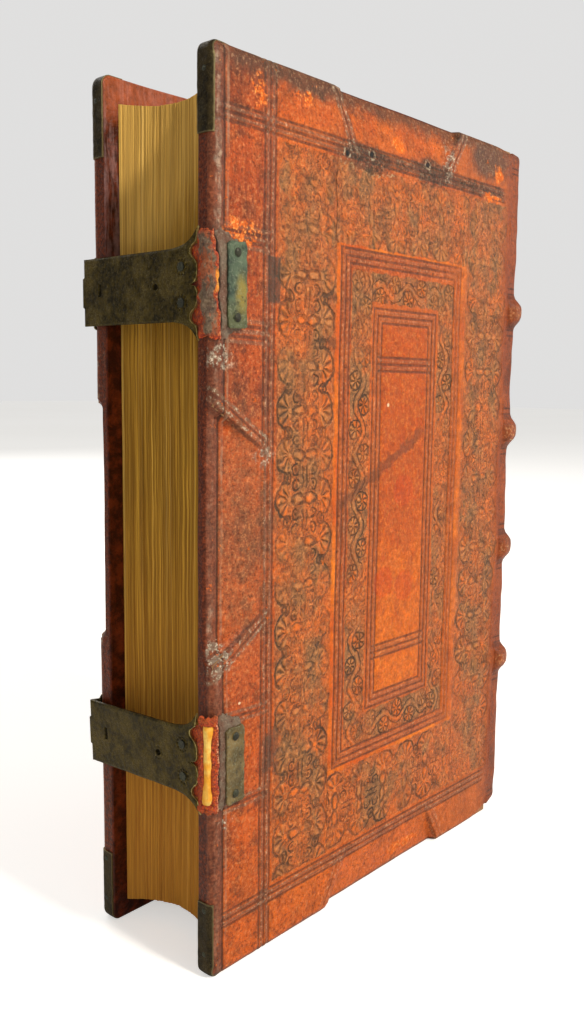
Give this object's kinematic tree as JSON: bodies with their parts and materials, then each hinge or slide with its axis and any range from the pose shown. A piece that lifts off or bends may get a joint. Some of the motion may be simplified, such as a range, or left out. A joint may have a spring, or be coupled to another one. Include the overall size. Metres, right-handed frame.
{
  "type": "antique leather book",
  "caption": "Antique book in tooled leather over bevelled wooden boards, with a sewn page block, raised spine bands, hinged covers and brass hook clasps on leather straps.",
  "frame": {"origin": "middle of the footprint, at the tail edges that the book stands on", "axes": "+Z from tail to head, +X from the fore-edge towards the spine, +Y from the front cover towards the rear cover"},
  "size_m": [0.2138, 0.0712, 0.32],
  "materials": {
    "cover_leather": "blind-tooled calf or pigskin, worn, waxy",
    "board_wood": "dry oak or beech board, planed",
    "page_paper": "aged rag paper, toned edges",
    "lining_paper": "aged pasted-down leaf",
    "cord": "twisted hemp or tawed-skin support",
    "endband_thread": "linen thread over a core",
    "strap_leather": "worn strap leather, open suede where torn",
    "strap_lining": "pale parchment lining",
    "clasp_brass": "dark olive patina, scratched",
    "anchor_brass": "green-grey patina",
    "guard_brass": "nearly black patina, worn edges",
    "nail_metal": "dark, rubbed bright on top"
  },
  "bodies": {
    "book_block": {"text_block": "page_paper", "sewing_support_1": "cord", "sewing_support_2": "cord", "sewing_support_3": "cord", "sewing_support_4": "cord", "head_endband": "endband_thread", "tail_endband": "endband_thread", "spine_leather": "cover_leather"},
    "front_cover": {"front_board": "board_wood", "front_leather": "cover_leather", "front_pastedown": "lining_paper", "front_slips": "cord", "front_pegs": "board_wood", "front_edge_nails": "nail_metal", "front_head_guard": "guard_brass", "front_tail_guard": "guard_brass", "upper_strap": "strap_leather", "lower_strap": "strap_leather", "lower_strap_core": "strap_lining", "upper_anchor_plate": "anchor_brass", "lower_anchor_plate": "anchor_brass", "anchor_nails": "nail_metal"},
    "rear_cover": {"rear_board": "board_wood", "rear_leather": "cover_leather", "rear_pastedown": "lining_paper", "rear_slips": "cord", "rear_pegs": "board_wood", "rear_edge_nails": "nail_metal", "rear_head_guard": "guard_brass", "rear_tail_guard": "guard_brass", "upper_catch_plate": "clasp_brass", "lower_catch_plate": "clasp_brass", "catch_nails": "nail_metal"},
    "upper_clasp": {"upper_clasp_plate": "clasp_brass", "upper_clasp_backing": "clasp_brass", "upper_strap_end": "strap_leather", "upper_clasp_rivets": "nail_metal"},
    "lower_clasp": {"lower_clasp_plate": "clasp_brass", "lower_clasp_backing": "clasp_brass", "lower_strap_end": "strap_leather", "lower_clasp_rivets": "nail_metal"}
  },
  "joints": [
    {"name": "front_cover_hinge", "type": "hinge", "parent": "book_block", "child": "front_cover", "pos_m": [0.08595, -0.032, 0.16], "axis": [0, 0, 1], "range_deg": [0, 105]},
    {"name": "rear_cover_hinge", "type": "hinge", "parent": "book_block", "child": "rear_cover", "pos_m": [0.08595, 0.032, 0.16], "axis": [0, 0, -1], "range_deg": [0, 105]},
    {"name": "upper_clasp_hinge", "type": "hinge", "parent": "front_cover", "child": "upper_clasp", "pos_m": [-0.10655, -0.02835, 0.244], "axis": [0, 0, 1], "range_deg": [0, 150]},
    {"name": "lower_clasp_hinge", "type": "hinge", "parent": "front_cover", "child": "lower_clasp", "pos_m": [-0.10655, -0.02925, 0.081], "axis": [0, 0, 1], "range_deg": [0, 150]}
  ]
}
